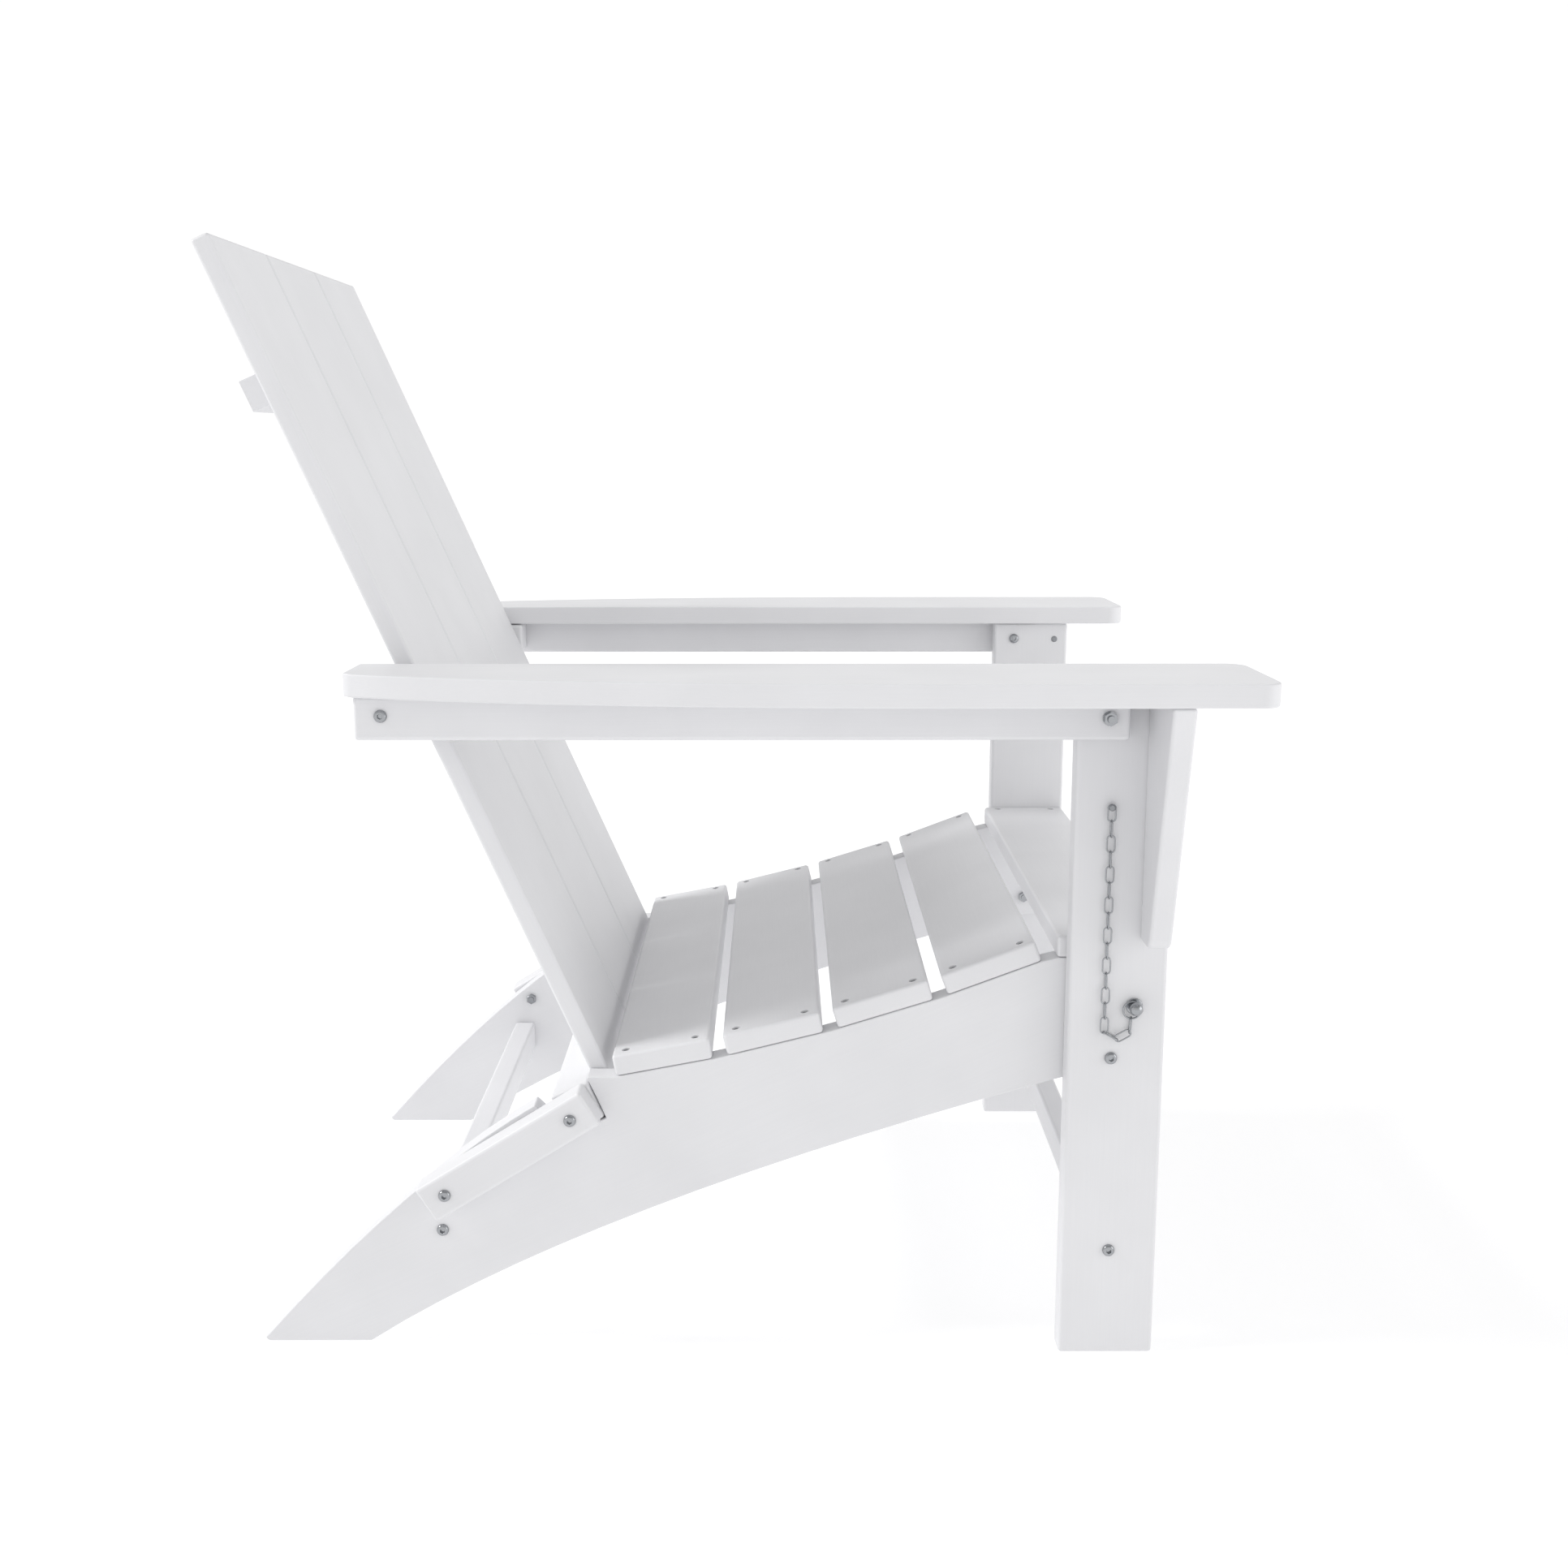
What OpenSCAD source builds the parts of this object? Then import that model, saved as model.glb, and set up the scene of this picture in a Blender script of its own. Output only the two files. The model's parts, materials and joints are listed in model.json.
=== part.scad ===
// Folding adirondack chair in poly lumber boards, flat slatted back.
// Millimetres. +Z is up, the front faces -Y, X runs across the seat.
// The origin is on the floor under the middle of the chair.

/* [Seat] */
// Width over the outer faces of the two seat rails
seat_w = 540; // [440:1:680]
// Thickness of the seat rails, front legs and arm rails
rail_t = 22; // [18:0.5:27]
// Thickness of the seat slats and the arm boards
slat_t = 19; // [15:0.5:23]
// Width of each sloping seat slat
seat_slat_w = 85; // [70:1:90]
// Width of the level front seat slat
front_slat_w = 88; // [76:1:96]
// Gap between neighbouring seat slats
seat_gap = 13; // [8:0.5:16]
// Slope of the rearmost seat slat, in degrees
seat_slope = 10.8; // [8:0.2:12]
// How much steeper each slat is than the one behind it, in degrees
seat_slope_step = 3.3; // [2:0.1:4]

/* [Back] */
// Lean of the back from upright, in degrees
back_tilt = 23.6; // [18:0.2:28]
// Length of the back slats
back_len = 800; // [680:5:960]
// Gap between the back's sides and the seat rails
back_side_gap = 1; // [0.5:0.1:3]
// Gap between the back slats
back_gap = 2.5; // [1.5:0.5:4]
// Thickness of the back slats
back_slat_t = 16; // [13:0.5:20]
// Height of the middle batten
batten_h = 32; // [28:1:44]
// Height of the upper batten
upper_batten_h = 27; // [22:1:40]
// Thickness of the upper and middle battens
batten_t = 22; // [18:0.5:27]
// Distance from the top of the slats down to the upper batten
batten_drop = 110; // [80:1:200]
// How far the upper batten ends stop short of the back's sides
batten_inset = 30; // [10:1:60]
// Depth of the lower batten, square to the slats
sill_depth = 36; // [32:1:40]

/* [Arms and legs] */
// Height of the underside of the arms
arm_z = 582; // [480:1:700]
// Width of an arm at the front
arm_w = 130; // [100:1:150]
// Width of an arm at the rear end
arm_tail_w = 60; // [50:1:75]
// Height of the arm rails
arm_rail_h = 36; // [32:1:44]
// Width of the front legs
leg_w = 82; // [70:1:98]
// Width of the links beside the back
link_w = 34; // [28:1:40]
// Thickness of the links beside the back
link_t = 27; // [20:1:32]

/* [Fastenings] */
// Diameter of the pivot bolts
bolt_d = 6; // [5:0.5:8]
// Radial running clearance of a pivot bolt in its bore
run_gap = 0.1; // [0.02:0.01:0.1]
// Side clearance between boards that turn on each other
side_gap = 0.5; // [0.3:0.1:1]
// Diameter of the lock pins
pin_d = 8; // [6:0.5:10]
// Diameter of the wood screws
screw_d = 3.6; // [3:0.1:5]
// Room that the open pivot needs around its bolt
open_gap = 6.5; // [6:0.5:7]
// Gap between the lower batten and the walls of its notches
notch_gap = 0.8; // [0.5:0.1:3]

/* [Hidden] */

$fn = 40;
eps = 0.01;

// Colours
white = [0.87, 0.88, 0.90];
steel = [0.72, 0.73, 0.75];

// Planes across the chair, measured from its middle
rail_out = seat_w / 2;
rail_in = rail_out - rail_t;
leg_in = rail_out + 2 * side_gap;
leg_out = leg_in + rail_t;
arm_rail_in = leg_out + side_gap;
arm_rail_out = arm_rail_in + rail_t;
link_in = rail_out + side_gap;
link_out = link_in + link_t;
back_side = rail_in - back_side_gap;
back_slat_w = (2 * back_side - 2 * back_gap) / 3;
arm_lap = 13.5; // how far the arms reach in over the seat rails
arm_in = rail_out - arm_lap;
arm_out = arm_in + arm_w;
batten_end = arm_in - side_gap;
spacer_in = arm_in;

// Seat line: the foot of each slat on the rails, from the rear forwards
seat_start = [99.9, 245.3]; // rear foot of the rearmost slat
level_turn = 4; // how much of the front slat's gap turns down to the level slat, in degrees
function slope(i) = seat_slope + seat_slope_step * i;
function fwd(a) = [-cos(a), sin(a)];
function slat_rear(i) = i == 0 ? seat_start
    : slat_front(i - 1) + seat_gap * fwd((slope(i) + slope(i - 1)) / 2);
function slat_front(i) = slat_rear(i) + seat_slat_w * fwd(slope(i));
level_rear = slat_front(3) + seat_gap * fwd(slope(3) / 2 + level_turn);
level_front = level_rear - [front_slat_w, 0];

// Pivots in the side view, as [y, z]
leg_lead = 1; // how far the legs stand in front of the seat
leg_pivot_inset = 37; // leg pivot from the leg's rear edge
leg_pivot_drop = 81; // leg pivot below the foot of the level slat
arm_pivot_inset = 22; // arm pivot from the leg's rear edge
back_arm_drop = 16; // rear arm pivot below the underside of the arms
leg_front = level_front[0] - leg_lead;
leg_rear = leg_front + leg_w;
leg_top = arm_z - 0.6;
leg_pivot = [leg_rear - leg_pivot_inset, level_rear[1] - leg_pivot_drop];
arm_pivot = [leg_rear - arm_pivot_inset, arm_z - arm_rail_h / 2];
lock_point = leg_pivot + [-18, 46];
link_foot = [245.5, 149];
link_span = 127.8;
link_angle = 148.1;
back_pivot = link_foot + link_span * [cos(link_angle), sin(link_angle)];

// The back's own frame: origin where the slats' rear face passes the back pivot
sill_off = 21.5; // back pivot behind the slats' rear face
up = [sin(back_tilt), cos(back_tilt)];
rearward = [cos(back_tilt), -sin(back_tilt)];
back_origin = back_pivot - sill_off * rearward;
slat_foot = -20; // lower end of the slats below the back pivot
slat_head = slat_foot + back_len;
back_arm_z = arm_z - back_arm_drop;
arm_level = (back_arm_z + batten_t / 2 * sin(back_tilt) - back_origin[1]) / cos(back_tilt);
back_arm_pivot = back_origin + arm_level * up + batten_t / 2 * rearward;

// The lower batten in the back's frame
sill_top = 17.5;
sill_low = -18.5;

// Board sizes that follow
stretch_h = 31;
stretch_t = 22;
front_stretch = [leg_pivot[0] - 4, 96];
rear_stretch = [253.5, 105];
arm_lead = 60; // how far the arms reach out in front of the legs
arm_trail = 29; // arm behind its rear pivot
arm_rail_lead = 17; // arm rail in front of its front pivot
arm_rail_trail = 22; // arm rail behind its rear pivot
arm_front = leg_front - arm_lead;
arm_tail = back_arm_pivot[0] + arm_trail;
arm_rail_front = arm_pivot[0] - arm_rail_lead;
arm_rail_rear = back_arm_pivot[0] + arm_rail_trail;
foot_rear = 414.5;
foot_front = 320.5;

// Button head bolt sizes
head_r = bolt_d * 0.875;
head_h = bolt_d * 0.55;
socket_r = bolt_d * 0.38;
socket_h = head_h * 0.7;
nut_r = bolt_d * 0.96;
nut_h = bolt_d * 0.8;
bore_r = bolt_d / 2 + run_gap;
play = 0.2; // end play of a pivot bolt
bolt_end = 0.8; // bolt past its nut
bolt_bite = 38; // bolt's reach into a stretcher's end

// Screw sizes
screw_head_r = screw_d;
screw_head_h = 2;
screw_sink = 1.6;
slat_screw_edge = 12; // screw from a sloping slat's edge
level_screw_edge = 14; // screw from the level slat's edge
back_screw_edge = 34; // screw from a back slat's edge
slat_bite = 30; // screw's reach below a seat slat
back_bite = 9; // screw's reach into a back slat
cut = 1; // how far a hole's cutter runs past the board

// ---------- shape helpers ----------

// Board with a side-view outline in (y, z), from x0 towards +X
module plate(x0, t) {
    translate([x0, 0, 0]) rotate([90, 0, 90]) linear_extrude(height = t) children();
}

// Cylinder along +X
module rod(x0, p, r, len) {
    translate([x0, p[0], p[1]]) rotate([0, 90, 0]) cylinder(r = r, h = len);
}

// The piece on the sitter's left is drawn; the right one is its mirror image
module left() {
    children();
}
module right() {
    mirror([1, 0, 0]) children();
}
module both() {
    left() children();
    right() children();
}

// Children placed in the back's frame: z up the slats, y square to their rear face
module on_back() {
    translate([0, back_origin[0], back_origin[1]]) rotate([-back_tilt, 0, 0]) children();
}

// Quadratic curve from a to c that leaves and arrives towards b
function bend(a, b, c, n) = [for (i = [0:n]) let (t = i / n)
    (1 - t) * (1 - t) * a + 2 * t * (1 - t) * b + t * t * c];

// Arc of n steps about p
function arc(p, r, a0, a1, n) = [for (i = [0:n]) let (a = a0 + (a1 - a0) * i / n)
    p + r * [cos(a), sin(a)]];

// Button head bolt along +X with its head at the low end; the socket is open
module bolt(x0, p, len, r = bolt_d / 2) {
    difference() {
        union() {
            rod(x0, p, r, len);
            translate([x0, p[0], p[1]]) rotate([0, -90, 0]) button(head_r, head_h);
        }
        translate([x0 - head_h - eps, p[0], p[1]]) rotate([0, 90, 0])
            cylinder(r = socket_r, h = socket_h, $fn = 6);
    }
}

// Domed head standing on z = 0
module button(r, h) {
    rotate_extrude() polygon(concat([[0, 0], [r, 0], [r, h * 0.2]],
        [for (i = [1:5]) [r * cos(i * 12), h * 0.2 + h * 0.8 * sin(i * 18)]], [[0, h]]));
}

// ---------- seat ----------

// Notch for the lower batten; its rear wall leans so that the batten can lift out
module notch() {
    front_low = back_origin + (sill_low - notch_gap) * up - notch_gap * rearward;
    rear_low = front_low + (sill_depth + 2 * notch_gap) * rearward;
    above = 90; // the cut runs out over the rail's top
    polygon([front_low, rear_low, rear_low + [70, 70], front_low + above * up]);
}

module seat_rail_outline() {
    rear_top = [168.5, 221];
    difference() {
        polygon(concat(
            [[level_front[0] + 9, level_rear[1] - 100]],
            [[-295, level_rear[1] - 104]],
            bend([-276, level_rear[1] - 109], [126.2, 126.3], [foot_front, 0], 14),
            [[foot_rear - 3, 0], [foot_rear, 3]],
            bend([foot_rear - 4, 7], [282.1, 152.2], rear_top, 10),
            [[seat_start[0] + 24, seat_start[1]]],
            [for (i = [0:3]) each [slat_rear(i), slat_front(i)]],
            [level_rear, [level_front[0] + 5, level_rear[1]]]
        ));
        notch();
    }
}

module seat_rail() {
    color(white) difference() {
        plate(rail_in, rail_t) seat_rail_outline();
        rod(rail_in - cut, leg_pivot, bolt_d / 2, rail_t + 2 * cut);
        rod(rail_in - cut, lock_point, pin_d / 2 + 2 * run_gap, rail_t + 2 * cut);
        rod(rail_in - cut, link_foot, bolt_d / 2, rail_t + 2 * cut);
        rod(rail_in - cut, rear_stretch, bolt_d / 2, rail_t + 2 * cut);
        seat_screws() translate([0, 0, -slat_t - slat_bite - 2])
            cylinder(r = screw_d / 2, h = slat_t + slat_bite);
    }
}

// Children at each slat screw on the left rail, z along the screw, 0 at the slat's top
module seat_screws() {
    for (i = [0:3], k = [0, 1]) {
        at = slat_rear(i) + (k == 0 ? slat_screw_edge : seat_slat_w - slat_screw_edge) * fwd(slope(i));
        translate([rail_out - rail_t / 2, at[0], at[1]]) rotate([-slope(i), 0, 0])
            translate([0, 0, slat_t]) children();
    }
    for (k = [0, 1]) {
        at = level_rear - [k == 0 ? level_screw_edge : front_slat_w - level_screw_edge, 0];
        translate([rail_out - rail_t / 2, at[0], at[1] + slat_t]) children();
    }
}

// Slat standing on the rails: i = 0 is the rearmost
module seat_slat(i) {
    at = i < 4 ? slat_rear(i) : level_rear;
    a = i < 4 ? slope(i) : 0;
    w = i < 4 ? seat_slat_w : front_slat_w;
    color(white) difference() {
        translate([-rail_out, at[0], at[1]]) rotate([-a, 0, 0])
            translate([0, -w, 0]) cube([seat_w, w, slat_t]);
        both() seat_screws() screw_space();
    }
}

// Sunk screw pointing down from the surface at z = 0
screw_seat = screw_sink + screw_head_h;
module screw_space() {
    translate([0, 0, -60]) cylinder(r = screw_d / 2, h = 60 + cut);
    translate([0, 0, -screw_seat]) cylinder(r = screw_head_r, h = screw_seat + cut);
}
module screw(len) {
    difference() {
        union() {
            translate([0, 0, -len]) cylinder(r = screw_d / 2, h = len - screw_seat + cut);
            translate([0, 0, -screw_seat]) cylinder(r = screw_head_r, h = screw_head_h);
        }
        translate([0, 0, -screw_seat + 0.7]) cylinder(r = screw_d * 0.4, h = 3, $fn = 6);
    }
}

module seat_slat_screws() {
    color(steel) both() seat_screws() screw(slat_t + slat_bite);
}

// Bar between two boards, centred on p in the side view
module stretcher(half_len, p) {
    color(white) difference() {
        translate([-half_len, p[0] - stretch_t / 2, p[1] - stretch_h / 2])
            cube([2 * half_len, stretch_t, stretch_h]);
        both() rod(half_len - bolt_bite - 2, p, bolt_d / 2, bolt_bite + 2 + cut);
    }
}
module rear_stretcher() {
    stretcher(rail_in, rear_stretch);
}
module rear_stretcher_bolts() {
    color(steel) both() mirror([1, 0, 0]) bolt(-rail_out, rear_stretch, rail_t + bolt_bite);
}

module link_pivot_bolts() {
    color(steel) both() mirror([1, 0, 0])
        bolt(-link_out - play, link_foot, link_out - rail_in + play + nut_h + bolt_end);
}
module nut(x0, p, r_bore) {
    color(steel) difference() {
        translate([x0, p[0], p[1]]) rotate([0, 90, 0])
            cylinder(r = nut_r, h = nut_h, $fn = 6);
        rod(x0 - cut, p, r_bore, nut_h + 2 * cut);
    }
}
module link_pivot_nuts() {
    both() nut(rail_in - nut_h, link_foot, bolt_d / 2);
}
module leg_pivot_bolts() {
    color(steel) both() mirror([1, 0, 0])
        bolt(-leg_out - play, leg_pivot, leg_out - rail_in + play + nut_h + bolt_end);
}
module leg_pivot_nuts() {
    both() nut(rail_in - nut_h, leg_pivot, bolt_d / 2);
}

// ---------- back ----------

module back_board(x0, w, y0, t, z0, h) {
    translate([x0, y0, z0]) cube([w, t, h]);
}

// Screw places in the back's frame: two per slat on each batten
upper_z = slat_head - batten_drop - upper_batten_h / 2;
sill_z = sill_top - 14;
module back_screws() {
    for (s = [-1:1], k = [-1, 1]) {
        x = s * (back_slat_w + back_gap) + k * (back_slat_w / 2 - back_screw_edge);
        for (z = [upper_z, arm_level]) translate([x, batten_t, z]) rotate([-90, 0, 0]) children(0);
        translate([x, sill_depth, sill_z]) rotate([-90, 0, 0]) children(1);
    }
}

module back_slat(i) {
    x0 = -back_side + i * (back_slat_w + back_gap);
    color(white) difference() {
        on_back() back_board(x0, back_slat_w, -back_slat_t, back_slat_t, slat_foot, back_len);
        on_back() back_screws() {
            translate([0, 0, -batten_t - back_bite - 1]) cylinder(r = screw_d / 2, h = back_bite + 3);
            translate([0, 0, -sill_depth - back_bite - 1]) cylinder(r = screw_d / 2, h = back_bite + 3);
        }
    }
}
module batten(half, t, z0, h) {
    difference() {
        on_back() back_board(-half, 2 * half, 0, t, z0, h);
        on_back() back_screws() {
            screw_space();
            screw_space();
        }
    }
}
module upper_batten() {
    color(white) batten(back_side - batten_inset, batten_t, upper_z - upper_batten_h / 2, upper_batten_h);
}
module middle_batten() {
    color(white) difference() {
        batten(batten_end, batten_t, arm_level - batten_h / 2, batten_h);
        both() rod(batten_end - 26, back_arm_pivot, bolt_d / 2 + open_gap, 27);
    }
}
module lower_batten() {
    color(white) difference() {
        batten(rail_out - 0.5, sill_depth, sill_low, sill_top - sill_low);
        on_back() translate([-rail_out, sill_depth, sill_low]) rotate([0, 90, 0])
            cylinder(r = 6, h = seat_w, $fn = 4);
        both() rod(rail_in - 26, back_pivot, bolt_d / 2, rail_t + 27);
    }
}
module back_slat_screws() {
    color(steel) on_back() back_screws() {
        screw(batten_t + back_bite);
        screw(sill_depth + back_bite);
    }
}
module back_pivot_bolts() {
    color(steel) both() mirror([1, 0, 0])
        bolt(-link_out - play, back_pivot, link_out + play - rail_in + 24);
}

// Link that lets the lower batten rise out of the rail notches
module back_link() {
    along = [cos(link_angle), sin(link_angle)];
    across = [-along[1], along[0]];
    past = 20; // board beyond each pivot
    w = link_w / 2;
    color(white) difference() {
        plate(link_in, link_t) polygon([
            link_foot - past * along - w * across,
            back_pivot + past * along - w * across,
            back_pivot + past * along + w * across,
            link_foot - past * along + w * across]);
        for (p = [link_foot, back_pivot]) rod(link_in - cut, p, bore_r, link_t + 2 * cut);
    }
}

// ---------- front legs ----------

module front_leg() {
    color(white) difference() {
        plate(leg_in, rail_t) polygon([[leg_front, 0], [leg_rear, 0],
            [leg_rear, leg_top], [leg_front, leg_top]]);
        rod(leg_in - cut, leg_pivot, bore_r, rail_t + 2 * cut);
        rod(leg_in - cut, lock_point, pin_d / 2 + run_gap, rail_t + 2 * cut);
        rod(leg_in - cut, arm_pivot, bolt_d / 2, rail_t + 2 * cut);
        rod(leg_in - cut, front_stretch, bolt_d / 2, rail_t + 2 * cut);
        rod(leg_out - 12, chain_top, screw_r, 13);
        bracket_screw_places() translate([0, 0, -1]) cylinder(r = screw_d / 2, h = rail_t + 2);
    }
}
module front_stretcher() {
    stretcher(leg_in, front_stretch);
}
module front_stretcher_bolts() {
    color(steel) both() mirror([1, 0, 0]) bolt(-leg_out, front_stretch, rail_t + bolt_bite);
}

// Tapered board square to the leg's outer face, under the arm; it follows the arm's overhang
bracket_t = slat_t;
bracket_setback = 5; // behind the leg's front edge
bracket_top_x = arm_out - 4; // just inside the arm's outer edge
bracket_low_w = 36; // width at the foot
bracket_rise = 57.2; // its foot above the lock pin
bracket_h = leg_top - lock_point[1] - bracket_rise;
bracket_nose = 13; // radius of the foot's outer corner
module arm_bracket() {
    top = leg_top;
    foot = top - bracket_h;
    low_x = leg_out + bracket_low_w;
    color(white) difference() {
        translate([0, leg_front + bracket_setback + bracket_t, 0]) rotate([90, 0, 0])
            linear_extrude(height = bracket_t)
                polygon(concat([[leg_out, foot], [leg_out, top], [bracket_top_x, top]],
                    arc([low_x - bracket_nose, foot + bracket_nose], bracket_nose, -14, -90, 6)));
        bracket_screw_places() translate([0, 0, rail_t - cut])
            cylinder(r = screw_d / 2, h = 20);
    }
}

// Bracket screws start at the leg's inner face and point outwards
module bracket_screw_places() {
    for (z = [leg_top - 18, leg_top - 0.58 * bracket_h])
        translate([leg_in, leg_front + bracket_setback + bracket_t / 2, z]) rotate([0, 90, 0]) children();
}
module bracket_screws() {
    color(steel) both() bracket_screw_places() {
        cylinder(r = screw_d / 2, h = rail_t + 18);
        translate([0, 0, 0]) rotate([180, 0, 0]) button(3.4, 0.9);
    }
}

// The bolt starts inside the leg; nut and washer are outside the arm rail
washer_t = 1.2;
module arm_pivot_bolts() {
    color(steel) both()
        bolt(leg_in, arm_pivot, arm_rail_out - leg_in + 0.3 + washer_t + nut_h + 3);
}
module arm_pivot_washers() {
    color(steel) both() difference() {
        rod(arm_rail_out + 0.3, arm_pivot, bolt_d, washer_t);
        rod(arm_rail_out, arm_pivot, bolt_d / 2, washer_t + 1);
    }
}
module arm_pivot_nuts() {
    both() nut(arm_rail_out + 0.3 + washer_t, arm_pivot, bolt_d / 2);
}

// ---------- arms ----------

// Plan outline of the left arm, as [x, y]
module arm_outline() {
    nose = 17; // radius of the front corners
    tail_x = arm_in + arm_tail_w;
    polygon(concat(
        [[arm_in, arm_tail]],
        arc([arm_in + nose, arm_front + nose], nose, 180, 270, 6),
        arc([arm_out - nose, arm_front + nose], nose, -90, 0, 6),
        bend([arm_out, arm_front + 230], [arm_out, arm_tail - 190], [tail_x + 9, arm_tail - 9], 12),
        [[tail_x, arm_tail]]));
}

module arm() {
    color(white) difference() {
        translate([0, 0, arm_z]) linear_extrude(height = slat_t) arm_outline();
        // scoop that lets the square top of the leg swing past
        rod(leg_in - 1.5, arm_pivot, norm([leg_rear, leg_top] - arm_pivot) + 0.8, rail_t + 3);
        arm_screw_places() cylinder(r = screw_d / 2, h = slat_t - 6);
    }
}

// Screws come up through the arm rail; z = 0 is the arm's underside
module arm_screw_places() {
    for (y = [arm_pivot[0] + 60, (arm_pivot[0] + back_arm_pivot[0]) / 2, back_arm_pivot[0] - 60])
        translate([arm_rail_in + rail_t / 2, y, arm_z]) children();
}
module arm_rail() {
    color(white) difference() {
        translate([arm_rail_in, arm_rail_front, arm_z - arm_rail_h])
            cube([rail_t, arm_rail_rear - arm_rail_front, arm_rail_h]);
        rod(arm_rail_in - cut, arm_pivot, bore_r, rail_t + 2 * cut);
        rod(arm_rail_in - cut, back_arm_pivot, bolt_d / 2, rail_t + 2 * cut);
        arm_screw_places() translate([0, 0, -arm_rail_h - 1])
            cylinder(r = screw_d / 2, h = arm_rail_h + 2);
        arm_screw_places() translate([0, 0, -arm_rail_h - 1]) cylinder(r = screw_head_r, h = 5);
        spacer_bolt_hole();
    }
}
module arm_rail_screws() {
    color(steel) both() arm_screw_places() translate([0, 0, -arm_rail_h + 4])
        mirror([0, 0, 1]) translate([0, 0, screw_sink + 2]) screw(arm_rail_h + 10);
}

// Block that fills the space between the arm rail and the back; the head of its
// bolt is sunk, so that the middle batten can turn past it
spacer_h = 30;
spacer_sink = head_h + 0.4;
spacer_bolt = back_arm_pivot + [-20, -1];
module spacer_bolt_hole() {
    rod(spacer_in - 1, spacer_bolt, bolt_d / 2, arm_rail_in - spacer_in + 13);
    rod(spacer_in - 1, spacer_bolt, head_r + 0.3, spacer_sink + 1);
}
module arm_spacer() {
    color(white) difference() {
        translate([spacer_in, back_arm_pivot[0] - 32, back_arm_pivot[1] - spacer_h / 2])
            cube([arm_rail_in - spacer_in, 52, spacer_h]);
        rod(spacer_in - 1, back_arm_pivot, bolt_d / 2, arm_rail_in - spacer_in + 2);
        spacer_bolt_hole();
    }
}
module spacer_bolts() {
    color(steel) both()
        bolt(spacer_in + spacer_sink, spacer_bolt, arm_rail_in - spacer_in + 11 - spacer_sink);
}
module arm_back_bolts() {
    color(steel) both() mirror([1, 0, 0])
        bolt(-arm_rail_out, back_arm_pivot, arm_rail_out - batten_end + 20);
}

// ---------- lock pins and chains ----------

// Each pin stops inside the leg. Outside it has a flange, a neck and a ball, and
// the ring hangs on the neck
flange_r = 7;
neck_r = 2.8;
ball_r = 5.6;
ball_x = 9.8;
module lock_pin() {
    color(steel) {
        rod(leg_in + 0.6, lock_point, pin_d / 2, rail_t);
        translate([leg_out + 0.4, lock_point[0], lock_point[1]]) rotate([0, 90, 0])
            rotate_extrude() polygon(concat(
                [[0, 0], [flange_r - 0.5, 0], [flange_r, 0.5], [flange_r, 1.3],
                 [flange_r - 0.5, 1.8], [neck_r, 1.8], [neck_r, 4.6]],
                arc([0, ball_x - 0.4], ball_r, -59, 90, 12)));
    }
}

ring_r = 7.3;
ring_wire = 0.8;
ring_x = leg_out + 3.7;
ring_at = lock_point + (ring_r - ring_wire - neck_r - 0.1) * [0.64, -0.77];
module pin_ring() {
    color(steel) translate([ring_x, ring_at[0], ring_at[1]]) rotate([0, 90, 0])
        rotate_extrude() translate([ring_r, 0]) circle(r = ring_wire, $fn = 16);
}

// The chain hangs from its screw, each link turned a quarter from the one before,
// and its last three links curl up to the ring. The first link stands square to the
// screw and the last to the ring, so that the number of hanging links is odd
link_l = 15.7;
link_b = 7.7;
wire_r = 0.65;
link_play = 0.05;
chain_x = leg_out + 4.2;

// From a link's middle to its joint with the next: where the chain turns, each link's
// end sits deeper in the other's round end. Turns past 68 degrees would not fit
end_r = link_b / 2 - wire_r;
free_r = end_r - 2 * wire_r - 2 * link_play;
function reach(turn) = link_l / 2 - wire_r
    - (end_r - sqrt(end_r * end_r - 2 * (end_r * end_r - free_r * free_r) / (1 + cos(turn)))) / 2;

chain_room = 70; // bare leg above and below the chain
hanging = 2 * floor((leg_top - lock_point[1] - chain_room) / (4 * reach(0))) + 1;
curls = [60, 120, 175];
chain_n = hanging + len(curls);
screw_r = 1.6;
first_drop = link_l / 2 - 2 * wire_r - screw_r - link_play;
function curl(i) = i < hanging ? 0 : curls[i - hanging];
function hang(i) = [sin(curl(i)), cos(curl(i))];

ring_reach = link_l / 2 - 2 * wire_r - ring_wire - 3 * link_play;
function chain_at(i) = i == chain_n - 1 ? ring_at + (ring_r + ring_reach) * hang(i)
    : chain_at(i + 1) + reach(curl(i + 1) - curl(i)) * (hang(i) + hang(i + 1));
chain_top = chain_at(0) + [0, first_drop];
module chain_link() {
    for (s = [-1, 1]) translate([s * (link_b / 2 - wire_r), 0, 0])
        cylinder(r = wire_r, h = link_l - link_b, center = true, $fn = 16);
    for (s = [0, 180]) rotate([s, 0, 0]) translate([0, 0, (link_l - link_b) / 2])
        rotate([90, 0, 0]) rotate_extrude(angle = 180)
            translate([link_b / 2 - wire_r, 0]) circle(r = wire_r, $fn = 16);
}
module chain() {
    color(steel) for (i = [0:chain_n - 1])
        translate([chain_x, chain_at(i)[0], chain_at(i)[1]]) rotate([-curl(i), 0, 0])
            rotate([0, 0, i % 2 == 0 ? 90 : 0]) chain_link();
}
module chain_screws() {
    color(steel) both() {
        rod(leg_out - 11, chain_top, screw_r, chain_x + wire_r + 11.3 - leg_out);
        translate([chain_x + wire_r + 0.2, chain_top[0], chain_top[1]]) rotate([0, 90, 0])
            button(3, 2);
    }
}

// ---------- the assembly ----------

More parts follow.
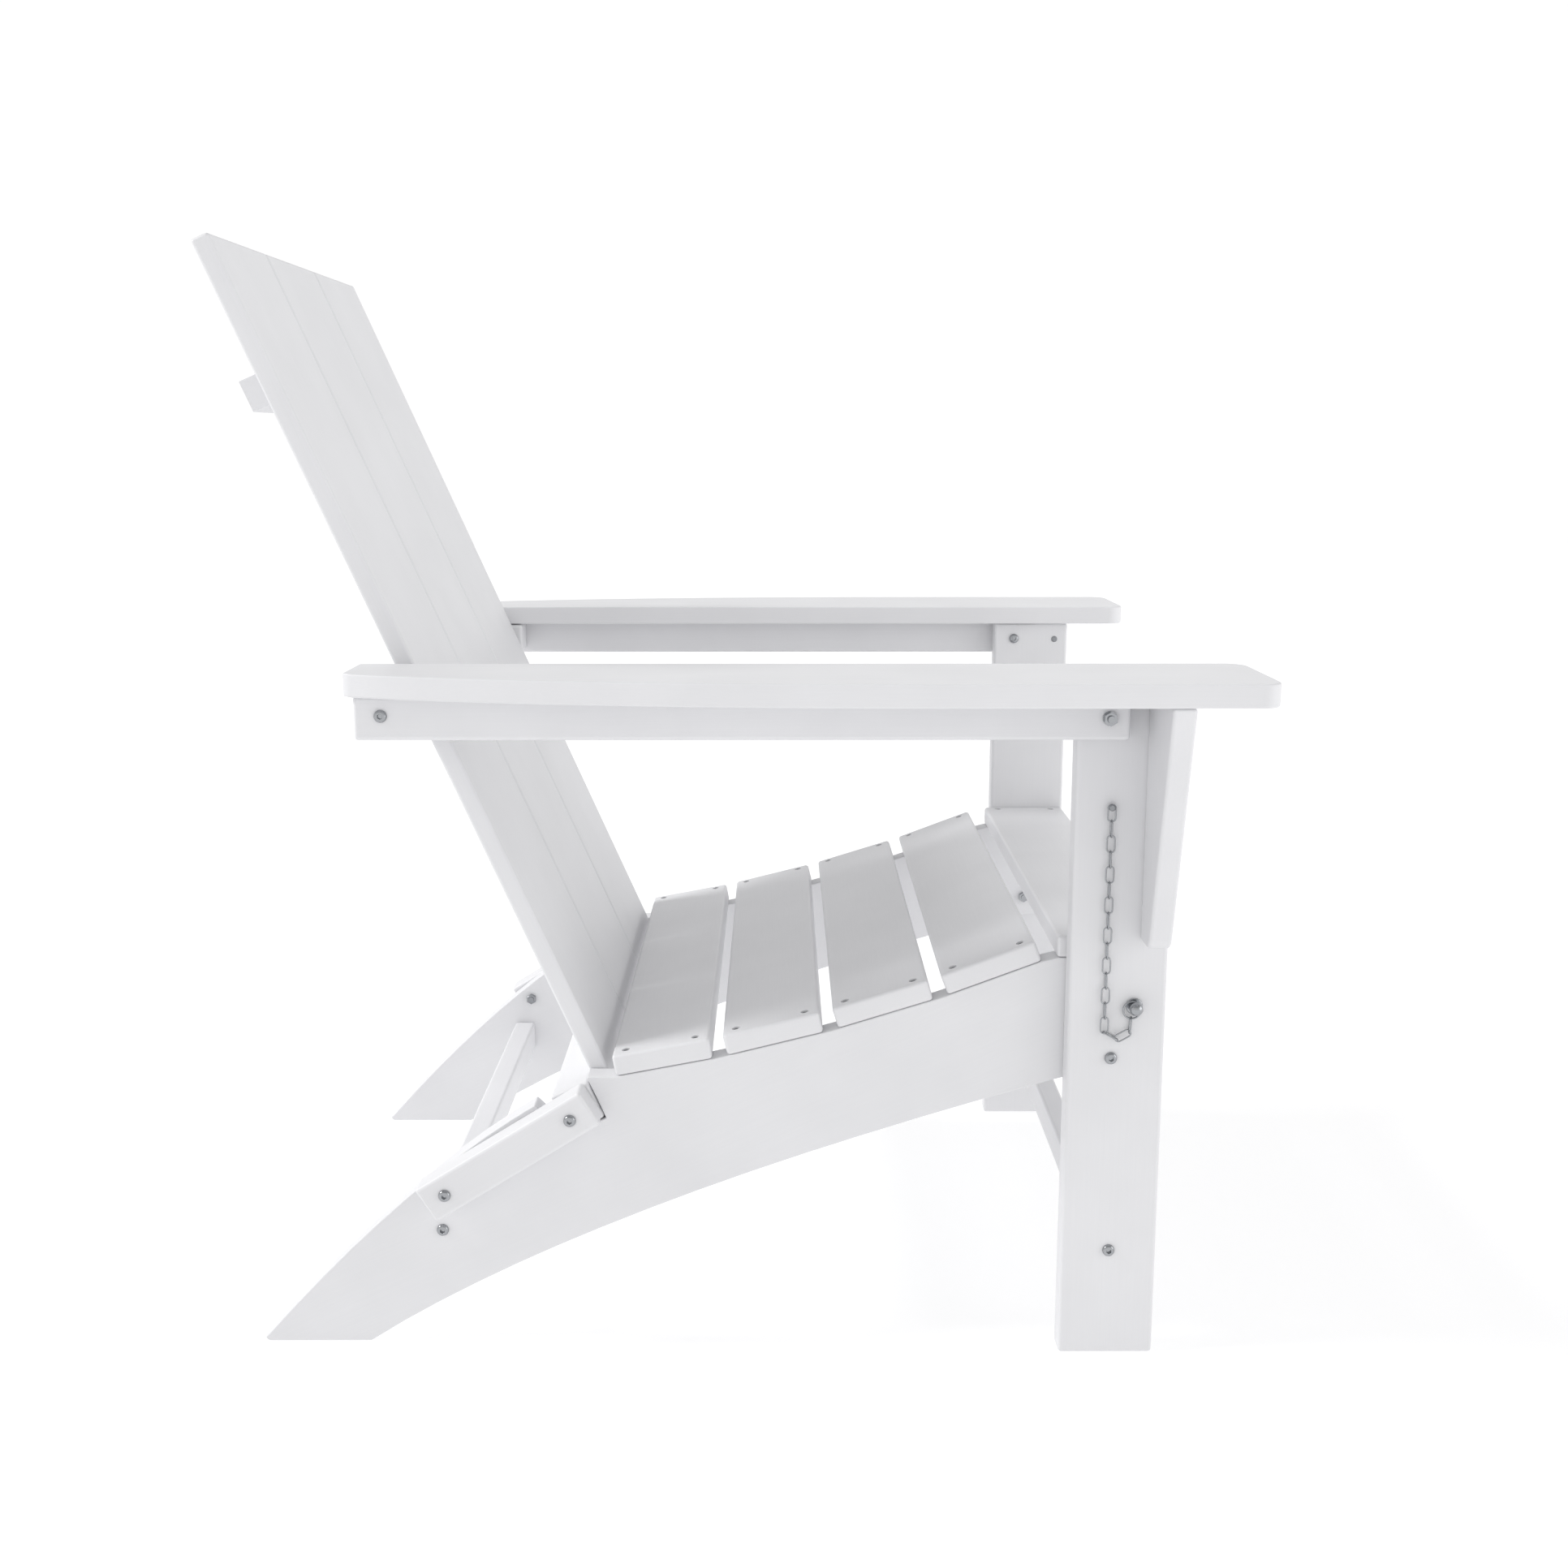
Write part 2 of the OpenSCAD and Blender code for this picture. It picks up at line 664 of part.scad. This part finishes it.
right() seat_rail();  // seat_rail_right
left() seat_rail();  // seat_rail_left
seat_slat(0);  // seat_slat_1
seat_slat(1);  // seat_slat_2
seat_slat(2);  // seat_slat_3
seat_slat(3);  // seat_slat_4
seat_slat(4);  // seat_slat_5
rear_stretcher();
seat_slat_screws();
rear_stretcher_bolts();
link_pivot_bolts();
link_pivot_nuts();
leg_pivot_bolts();
leg_pivot_nuts();
back_slat(0);  // back_slat_right
back_slat(1);  // back_slat_centre
back_slat(2);  // back_slat_left
upper_batten();
middle_batten();
lower_batten();
back_slat_screws();
back_pivot_bolts();
right() back_link();  // back_link_right
left() back_link();  // back_link_left
right() front_leg();  // front_leg_right
left() front_leg();  // front_leg_left
front_stretcher();
front_stretcher_bolts();
right() arm_bracket();  // arm_bracket_right
left() arm_bracket();  // arm_bracket_left
bracket_screws();
arm_pivot_bolts();
arm_pivot_washers();
arm_pivot_nuts();
chain_screws();
right() chain();  // chain_right
left() chain();  // chain_left
right() arm();  // arm_right
left() arm();  // arm_left
right() arm_rail();  // arm_rail_right
left() arm_rail();  // arm_rail_left
right() arm_spacer();  // arm_spacer_right
left() arm_spacer();  // arm_spacer_left
arm_rail_screws();
spacer_bolts();
arm_back_bolts();
right() lock_pin();  // lock_pin_right
left() lock_pin();  // lock_pin_left
right() pin_ring();  // pin_ring_right
left() pin_ring();  // pin_ring_left
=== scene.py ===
# %% [markdown]
# # A folding adirondack chair in white poly lumber
#
# The chair is cut from solid boards of recycled polyethylene: they are extruded, planed,
# sawn to shape and run past a router, which eases every arris to a small radius. Stainless
# steel bolts and screws hold them, and two lock pins hang on chains beside the front legs.
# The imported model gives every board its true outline, place and holes. This lesson eases
# the boards' arrises, polishes the hardware, makes the chains, and gives each its finish.

# %% Load the frame
import json
import math

import bmesh
import bpy
import numpy as np
from mathutils import Matrix, Vector


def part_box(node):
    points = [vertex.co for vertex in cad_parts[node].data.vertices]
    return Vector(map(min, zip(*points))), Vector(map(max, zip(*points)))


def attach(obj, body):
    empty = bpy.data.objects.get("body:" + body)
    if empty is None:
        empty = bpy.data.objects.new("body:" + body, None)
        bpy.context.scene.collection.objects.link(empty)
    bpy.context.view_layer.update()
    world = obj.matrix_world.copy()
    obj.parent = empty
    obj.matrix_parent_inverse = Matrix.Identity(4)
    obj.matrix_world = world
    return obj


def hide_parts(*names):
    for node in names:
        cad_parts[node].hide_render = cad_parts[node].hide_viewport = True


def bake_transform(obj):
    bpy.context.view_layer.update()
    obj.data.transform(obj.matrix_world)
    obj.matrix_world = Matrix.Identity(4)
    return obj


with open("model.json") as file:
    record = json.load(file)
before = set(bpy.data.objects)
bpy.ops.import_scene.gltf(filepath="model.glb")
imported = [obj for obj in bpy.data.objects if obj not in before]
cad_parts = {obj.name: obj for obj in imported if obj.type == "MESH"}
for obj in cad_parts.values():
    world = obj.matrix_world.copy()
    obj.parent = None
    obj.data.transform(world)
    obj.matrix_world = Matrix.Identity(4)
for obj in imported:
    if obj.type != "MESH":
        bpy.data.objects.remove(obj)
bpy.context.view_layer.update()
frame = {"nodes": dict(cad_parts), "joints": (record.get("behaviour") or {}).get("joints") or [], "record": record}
millimetre = 0.001

# %% [markdown]
# The camera comes first. It stands level with the chair's right side, a little higher than
# the top of its arms, and looks down along X by about eleven degrees.

# %% Camera
camera_data = bpy.data.cameras.new("camera")
camera_data.lens = 40.55
camera_data.sensor_width = 36.0
camera = bpy.data.objects.new("camera", camera_data)
camera.location = (-1.7137, -0.0396, 0.781)
camera.rotation_euler = (math.radians(79.053), 0.0, math.radians(-90.204))
bpy.context.scene.collection.objects.link(camera)
bpy.context.scene.camera = camera
bpy.context.scene.view_settings.view_transform = "Standard"

# %% [markdown]
# ## Finishes
#
# Colours are written as sRGB hex values, as a paint chart gives them. Blender's nodes work
# in linear light, so one function turns a hex value into a linear colour. One more function
# adds a node with its settings and its links, which keeps each finish short to read.

# %% Colour and node helpers
def linear(hex_colour):
    """An sRGB hex colour such as "#F0F1F3" as linear red, green, blue and alpha."""
    channels = [int(hex_colour[i:i + 2], 16) / 255 for i in (1, 3, 5)]
    return [c / 12.92 if c <= 0.04045 else ((c + 0.055) / 1.055) ** 2.4 for c in channels] + [1.0]


def add(tree, kind, settings=None, inputs=None):
    """Adds a node, sets its properties, and sets or links its inputs."""
    made = tree.nodes.new(kind)
    for name, value in (settings or {}).items():
        setattr(made, name, value)
    for name, value in (inputs or {}).items():
        if isinstance(value, bpy.types.NodeSocket):
            tree.links.new(value, made.inputs[name])
        else:
            made.inputs[name].default_value = value
    return made


def empty_material(name):
    """A new material with an empty node tree and an output."""
    material = bpy.data.materials.new(name)
    material.use_nodes = True
    material.node_tree.nodes.clear()
    return material, material.node_tree, add(material.node_tree, "ShaderNodeOutputMaterial")


# %% [markdown]
# Poly lumber is extruded high-density polyethylene, coloured white right through. Its skin
# is satin, not glossy: extrusion leaves faint streaks along the board, about a millimetre
# apart, and cooling leaves a fine orange peel. The white is a touch cool and a little uneven
# over a hand's width. The streaks follow each board, so the finish is made once for each
# direction in which boards lie: a Mapping node of type Texture turns the pattern to the
# board, and its scale is then simply the size of a streak in metres.

# %% Poly lumber
streak_length = 60 * millimetre
streak_width = 1.1 * millimetre
peel_size = 0.9 * millimetre
mottle_size = 90 * millimetre


def poly_lumber(name, turn):
    """White extruded polyethylene board whose streaks run along X before turn is applied."""
    material, tree, output = empty_material("extruded_polyethylene_" + name)
    place = add(tree, "ShaderNodeTexCoord")
    lengthwise = add(tree, "ShaderNodeMapping", {"vector_type": "TEXTURE"}, {
        "Vector": place.outputs["Object"], "Rotation": turn,
        "Scale": (streak_length, streak_width, streak_width)})
    streaks = add(tree, "ShaderNodeTexNoise", None, {
        "Vector": lengthwise.outputs["Vector"], "Scale": 1.0, "Detail": 3.0, "Roughness": 0.6})
    peel = add(tree, "ShaderNodeTexNoise", None, {
        "Vector": place.outputs["Object"], "Scale": 1 / peel_size, "Detail": 1.0})
    mottle = add(tree, "ShaderNodeTexNoise", None, {
        "Vector": place.outputs["Object"], "Scale": 1 / mottle_size, "Detail": 2.0})
    cloudy = add(tree, "ShaderNodeMapRange", None, {
        "Value": mottle.outputs["Fac"], "From Min": 0.3, "From Max": 0.7})
    whites = add(tree, "ShaderNodeMixRGB", {"blend_type": "MIX"}, {
        "Fac": cloudy.outputs["Result"], "Color1": linear("#DDDDDF"), "Color2": linear("#E1E1E3")})
    streak_shade = add(tree, "ShaderNodeMapRange", None, {
        "Value": streaks.outputs["Fac"], "From Min": 0.35, "From Max": 0.65,
        "To Min": 0.0, "To Max": 0.10})
    colour = add(tree, "ShaderNodeMixRGB", {"blend_type": "MIX"}, {
        "Fac": streak_shade.outputs["Result"], "Color1": whites.outputs["Color"],
        "Color2": linear("#D2D2D5")})
    satin = add(tree, "ShaderNodeMapRange", None, {
        "Value": streaks.outputs["Fac"], "To Min": 0.40, "To Max": 0.52})
    relief = add(tree, "ShaderNodeMath", {"operation": "MULTIPLY_ADD"}, {
        0: streaks.outputs["Fac"], 1: 0.6, 2: peel.outputs["Fac"]})
    bump = add(tree, "ShaderNodeBump", None, {
        "Height": relief.outputs["Value"], "Strength": 0.25, "Distance": 0.03 * millimetre})
    board = add(tree, "ShaderNodeBsdfPrincipled", None, {
        "Base Color": colour.outputs["Color"], "Roughness": satin.outputs["Result"],
        "IOR": 1.52, "Normal": bump.outputs["Normal"]})
    tree.links.new(board.outputs["BSDF"], output.inputs["Surface"])
    return material


# %% [markdown]
# The bolts, screws, pins and chains are stainless steel. Bolt heads are cold-headed and
# tumbled bright, so they mirror the room with a soft edge; fine scratches from tumbling are
# about a third of a millimetre apart. The screws are duller.

# %% Stainless steel
scratch_size = 0.35 * millimetre


def stainless(name, tint, dull, bright):
    """Steel whose roughness wanders between bright and dull."""
    material, tree, output = empty_material(name)
    place = add(tree, "ShaderNodeTexCoord")
    tumbled = add(tree, "ShaderNodeTexNoise", None, {
        "Vector": place.outputs["Object"], "Scale": 1 / scratch_size, "Detail": 2.0})
    wander = add(tree, "ShaderNodeMapRange", None, {
        "Value": tumbled.outputs["Fac"], "From Min": 0.3, "From Max": 0.7,
        "To Min": bright, "To Max": dull})
    bump = add(tree, "ShaderNodeBump", None, {
        "Height": tumbled.outputs["Fac"], "Strength": 0.1, "Distance": 0.01 * millimetre})
    steel = add(tree, "ShaderNodeBsdfPrincipled", None, {
        "Base Color": linear(tint), "Metallic": 1.0, "Roughness": wander.outputs["Result"],
        "Normal": bump.outputs["Normal"]})
    tree.links.new(steel.outputs["BSDF"], output.inputs["Surface"])
    return material


bright_steel = stainless("tumbled_stainless_steel", "#A2A4A7", dull=0.20, bright=0.08)
screw_steel = stainless("plain_stainless_steel", "#8E9093", dull=0.34, bright=0.20)

# %% [markdown]
# ## Boards
#
# Each board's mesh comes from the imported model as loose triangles. A copy is merged, and
# its flat faces are joined again, so that only true corners are left. A router with a small
# round-over bit would then go along every outer corner and leave the drilled holes alone, so
# the sharp edges are sorted into groups that touch: a hole's rim is a small group, and a
# board's outline is a large one.

# %% Which edges the router reaches
arris = 3.0 * millimetre
sharp = math.radians(30)
same_plane = math.radians(0.6)
same_point = 0.01 * millimetre
widest_hole = 25 * millimetre


def sharp_groups(bm):
    """Lists of sharp edges that touch one another: a board's outline, or one hole's rim."""
    bm.edges.index_update()
    left = {e.index: e for e in bm.edges if len(e.link_faces) == 2 and e.calc_face_angle(0.0) > sharp}
    groups = []
    while left:
        todo = [left.pop(next(iter(left)))]
        group = []
        while todo:
            edge = todo.pop()
            group.append(edge)
            for near in [e for vert in edge.verts for e in vert.link_edges if e.index in left]:
                todo.append(left.pop(near.index, near))
        groups.append(list(dict.fromkeys(group)))
    return groups


def span(edges):
    """The longest side of the box round some edges."""
    points = np.array([vert.co[:] for edge in edges for vert in edge.verts])
    return float((points.max(axis=0) - points.min(axis=0)).max())


# %% [markdown]
# A router bit's quarter round is drawn with three facets. The faces are smooth-shaded, and a
# Weighted Normal modifier lets the large flat faces win over the narrow facets beside them,
# so that a board stays flat right up to its eased edge. What has corners too sharp for smooth
# shading gives the angle at which they begin.

# %% Turning a bmesh into a finished piece
body_of_node = {node: body for body, nodes in frame["record"]["behaviour"]["bodies"].items()
                for node in nodes}


def finish_piece(bm, name, material, body, corner=None):
    """Makes the object, smooth-shades it, and lets it ride on its body if it has one."""
    mesh = bpy.data.meshes.new(name)
    bm.to_mesh(mesh)
    bm.free()
    mesh.shade_smooth()
    if corner is not None:
        mesh.set_sharp_from_angle(angle=corner)
    mesh.materials.append(material)
    piece = bpy.data.objects.new(name, mesh)
    bpy.context.scene.collection.objects.link(piece)
    weighted = piece.modifiers.new("flat faces stay flat", "WEIGHTED_NORMAL")
    weighted.keep_sharp = True
    if body is not None:
        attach(piece, body)
    return piece


def merged_copy(node):
    """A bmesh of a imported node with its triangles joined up, flat faces whole again."""
    bm = bmesh.new()
    bm.from_mesh(frame["nodes"][node].data)
    bmesh.ops.remove_doubles(bm, verts=bm.verts, dist=same_point)
    bmesh.ops.dissolve_limit(bm, angle_limit=same_plane, use_dissolve_boundaries=False,
                             verts=bm.verts, edges=bm.edges)
    return bm


def eased_board(node, material, radius):
    """A board with its outer corners rounded over."""
    bm = merged_copy(node)
    outline = [e for group in sharp_groups(bm) if span(group) > widest_hole for e in group]
    bmesh.ops.bevel(bm, geom=outline, offset=radius, offset_type="OFFSET", segments=3,
                    profile=0.5, affect="EDGES", material=-1, clamp_overlap=True)
    piece = finish_piece(bm, node + "_board", material, body_of_node[node], sharp)
    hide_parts(node)
    return piece


# %% [markdown]
# The streaks have to run along each board. Most boards lie across, upright, or from front to
# back. The back leans by the angle between its upper and middle battens, the links lie along
# the line between their two pivots, and the seat rails slope from foot to front.

# %% Directions of the boards
def middle(node):
    """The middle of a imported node's box."""
    low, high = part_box(node)
    return (low + high) / 2


def slope_of(step):
    """The angle of a step in the side view, from +Y towards +Z."""
    return math.atan2(step.z, step.y)


joint_place = {joint["name"]: Vector(joint.get("pos_m", (0, 0, 0))) for joint in frame["joints"]}
back_slope = slope_of(middle("upper_batten") - middle("middle_batten"))
link_slope = slope_of(joint_place["back_fold"] - joint_place["link_fold"])
rail_low, rail_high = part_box("seat_rail_right")
rail_slope = slope_of(Vector((0, rail_low.y - rail_high.y, rail_high.z - rail_low.z)))
quarter = math.pi / 2


def side_turn(slope):
    """Euler turn that takes X to a direction in the side view."""
    return (Matrix.Rotation(slope, 4, "X") @ Matrix.Rotation(quarter, 4, "Z")).to_euler()


directions = {
    "across": (0.0, 0.0, 0.0),
    "fore_and_aft": side_turn(0.0),
    "upright": side_turn(quarter),
    "leaning": side_turn(back_slope),
    "along_links": side_turn(link_slope),
    "along_rails": side_turn(rail_slope),
}
print("the back leans", round(90 - math.degrees(back_slope), 1), "degrees")

# %% [markdown]
# Now the boards can be made, one group for each direction. The middle batten has a wide bore
# near each end that leaves only 1.5 mm of board beside it, so its arrises are eased less.

# %% Boards
boards = {
    "across": ["seat_slat_1", "seat_slat_2", "seat_slat_3", "seat_slat_4", "seat_slat_5",
               "rear_stretcher", "front_stretcher", "upper_batten", "middle_batten",
               "lower_batten"],
    "fore_and_aft": ["arm_right", "arm_left", "arm_rail_right", "arm_rail_left",
                     "arm_spacer_right", "arm_spacer_left"],
    "upright": ["front_leg_right", "front_leg_left", "arm_bracket_right", "arm_bracket_left"],
    "leaning": ["back_slat_right", "back_slat_centre", "back_slat_left"],
    "along_links": ["back_link_right", "back_link_left"],
    "along_rails": ["seat_rail_right", "seat_rail_left"],
}
thin_walled = {"middle_batten": 1.2 * millimetre}
for direction, nodes in boards.items():
    finish = poly_lumber(direction, directions[direction])
    for node in nodes:
        board = eased_board(node, finish, thin_walled.get(node, arris))
        print(board.name, len(board.data.polygons), "faces")

# %% [markdown]
# ## Hardware
#
# Button-head bolts, nuts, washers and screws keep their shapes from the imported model. Their
# corners get a breath of a bevel, which is what catches the light on a small bright part.

# %% Bolts, screws and pins
broken_corner = 0.12 * millimetre


def polished(node, material):
    """A steel piece with its corners just broken."""
    bm = merged_copy(node)
    corners = [e for group in sharp_groups(bm) for e in group]
    bmesh.ops.bevel(bm, geom=corners, offset=broken_corner, offset_type="OFFSET", segments=1,
                    profile=0.5, affect="EDGES", material=-1, clamp_overlap=True)
    piece = finish_piece(bm, node + "_steel", material, body_of_node[node], sharp)
    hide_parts(node)
    return piece


bolts = ["rear_stretcher_bolts", "link_pivot_bolts", "link_pivot_nuts", "leg_pivot_bolts",
         "leg_pivot_nuts", "back_pivot_bolts", "front_stretcher_bolts", "arm_pivot_bolts",
         "arm_pivot_washers", "arm_pivot_nuts", "spacer_bolts", "arm_back_bolts",
         "lock_pin_right", "lock_pin_left", "pin_ring_right", "pin_ring_left"]
screws = ["seat_slat_screws", "back_slat_screws", "bracket_screws", "chain_screws",
          "arm_rail_screws"]
for node in bolts:
    polished(node, bright_steel)
for node in screws:
    polished(node, screw_steel)
print(len(bolts) + len(screws), "groups of fasteners polished")

# %% [markdown]
# ## Chains
#
# A chain link is one wire bent into a long loop: two straight sides and two half turns. A
# circle is extruded up one side, spun half a turn round the top, extruded down the other
# side and spun back round the bottom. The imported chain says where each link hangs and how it
# is turned, so its loose parts are measured one by one.

# %% One link
def link_mesh(half_length, half_width, wire):
    """A chain link about the origin: long along Z, flat in XZ. Sizes are to the wire's middle."""
    bm = bmesh.new()
    straight = half_length - half_width
    side = bmesh.ops.create_circle(bm, segments=12, radius=wire,
                                   matrix=Matrix.Translation((half_width, 0, -straight)))
    ring = list({e for v in side["verts"] for e in v.link_edges})
    for way in (1, -1):
        grown = bmesh.ops.extrude_edge_only(bm, edges=ring)["geom"]
        bmesh.ops.translate(bm, vec=(0, 0, way * 2 * straight),
                            verts=[g for g in grown if isinstance(g, bmesh.types.BMVert)])
        ring = [g for g in grown if isinstance(g, bmesh.types.BMEdge)]
        turned = bmesh.ops.spin(bm, geom=ring, cent=(0, 0, way * straight), axis=(0, -1, 0),
                                angle=math.pi, steps=10, use_merge=False, use_duplicate=False)
        ring = [g for g in turned["geom_last"] if isinstance(g, bmesh.types.BMEdge)]
    bmesh.ops.remove_doubles(bm, verts=bm.verts, dist=2 * same_point)
    bmesh.ops.recalc_face_normals(bm, faces=bm.faces)
    mesh = bpy.data.meshes.new("link")
    bm.to_mesh(mesh)
    bm.free()
    return mesh


# %% Where the links hang
def loose_parts(bm):
    """The vertices of each part of a mesh that hangs together."""
    bm.verts.index_update()
    left = {v.index: v for v in bm.verts}
    while left:
        todo = [left.pop(next(iter(left)))]
        found = []
        while todo:
            vert = todo.pop()
            found.append(vert)
            for near in [e.other_vert(vert) for e in vert.link_edges]:
                if near.index in left:
                    todo.append(left.pop(near.index))
        yield found


def link_place(verts):
    """Where a link hangs and how it is turned, and how far it reaches along, across and deep."""
    points = np.array([v.co[:] for v in verts])
    centre = (points.max(axis=0) + points.min(axis=0)) / 2
    spread = np.linalg.svd(points - centre, full_matrices=False)[2]
    along, wide = Vector(spread[0]), Vector(spread[1])
    turn = Matrix((wide, along.cross(wide), along)).transposed().to_4x4()
    return Matrix.Translation(centre) @ turn, np.abs((points - centre) @ spread.T).max(axis=0)


# %% [markdown]
# A chain joins the leg to the pin. When the pin is pulled out, the top of the chain stays on
# its screw and the bottom goes with the pin's ring. Here the links ride on neither body: they
# stay where the imported chain hangs.

# %% Chains
def chain(node):
    """A chain of bent-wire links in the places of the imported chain."""
    packed = bmesh.new()
    packed.from_mesh(frame["nodes"][node].data)
    bmesh.ops.remove_doubles(packed, verts=packed.verts, dist=same_point)
    places = [link_place(verts) for verts in loose_parts(packed)]
    packed.free()
    half_length, half_width, wire = (float(r) for r in np.median([p[1] for p in places], axis=0))
    shape = link_mesh(half_length - wire, half_width - wire, wire)
    bm = bmesh.new()
    for place, _ in places:
        before = len(bm.verts)
        bm.from_mesh(shape)
        bm.verts.ensure_lookup_table()
        bmesh.ops.transform(bm, matrix=place, verts=bm.verts[before:])
    piece = finish_piece(bm, node + "_links", bright_steel, None)
    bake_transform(piece)
    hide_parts(node)
    print(piece.name, len(places), "links", round(2000 * wire, 2), "mm thick")


chain("chain_right")
chain("chain_left")

# %% [markdown]
# ## The stage
#
# The chair stands on a plain white floor in a white room. The floor is lit from below, as in
# a product studio, which keeps it white right up to the walls and leaves only a soft shadow.
# The walls are bright and the ceiling is dimmer, so the seat, which sees mostly
# ceiling, is darker than the sides. A soft sun high behind the chair brightens what faces
# back and up and falls through the gaps of the back on to the seat, and a broad panel in
# front fills the front of the back.

# %% Floor
floor_reach = 12.0


def white_floor():
    """Matt white paint with a light of its own."""
    material, tree, output = empty_material("painted_studio_floor")
    place = add(tree, "ShaderNodeTexCoord")
    rolled = add(tree, "ShaderNodeTexNoise", None, {
        "Vector": place.outputs["Object"], "Scale": 40.0, "Detail": 2.0})
    roughness = add(tree, "ShaderNodeMapRange", None, {
        "Value": rolled.outputs["Fac"], "To Min": 0.85, "To Max": 0.95})
    paint = add(tree, "ShaderNodeBsdfPrincipled", None, {
        "Base Color": linear("#B4B4B5"), "Roughness": roughness.outputs["Result"],
        "Specular IOR Level": 0.1, "Emission Color": linear("#FFFFFF"),
        "Emission Strength": 0.64})
    tree.links.new(paint.outputs["BSDF"], output.inputs["Surface"])
    return material


floor_bm = bmesh.new()
bmesh.ops.create_grid(floor_bm, x_segments=1, y_segments=1, size=floor_reach)
floor_mesh = bpy.data.meshes.new("floor")
floor_bm.to_mesh(floor_mesh)
floor_bm.free()
floor_mesh.materials.append(white_floor())
floor = bpy.data.objects.new("floor", floor_mesh)
bpy.context.scene.collection.objects.link(floor)

# %% Room light
world = bpy.data.worlds.new("white room")
bpy.context.scene.world = world
world.use_nodes = True
room = world.node_tree
room.nodes.clear()
look = add(room, "ShaderNodeTexCoord")
height = add(room, "ShaderNodeSeparateXYZ", None, {"Vector": look.outputs["Generated"]})
dimmer = add(room, "ShaderNodeMapRange", None, {
    "Value": height.outputs["Z"], "From Min": 0.24, "From Max": 1.0, "To Min": 1.02, "To Max": 0.38})
backdrop = add(room, "ShaderNodeBackground", None, {
    "Color": linear("#FFFFFF"), "Strength": dimmer.outputs["Result"]})
add(room, "ShaderNodeOutputWorld", None, {"Surface": backdrop.outputs["Background"]})

# %% Sun behind the chair and panel in front
def lamp(name, kind, place, aim_at, energy):
    """A lamp at a place, turned towards a point."""
    data = bpy.data.lights.new(name, kind)
    data.energy = energy
    made = bpy.data.objects.new(name, data)
    made.location = place
    aim = Vector(aim_at) - made.location
    made.rotation_euler = aim.to_track_quat("-Z", "Y").to_euler()
    bpy.context.scene.collection.objects.link(made)
    return data


sun_height = math.radians(38)
sun_distance = 4.0
sun_place = (0.0, sun_distance * math.cos(sun_height), sun_distance * math.sin(sun_height))
rear_sun = lamp("rear sun", "SUN", sun_place, (0.0, 0.0, 0.0), 1.7)
rear_sun.angle = math.radians(15)
front_panel = lamp("front panel", "AREA", (-0.8, -3.2, 1.3), (0.0, 0.0, 0.6), 22.0)
front_panel.shape = "RECTANGLE"
front_panel.size = 3.0
front_panel.size_y = 2.0
print("sun", round(math.degrees(sun_height)), "degrees high behind the chair")
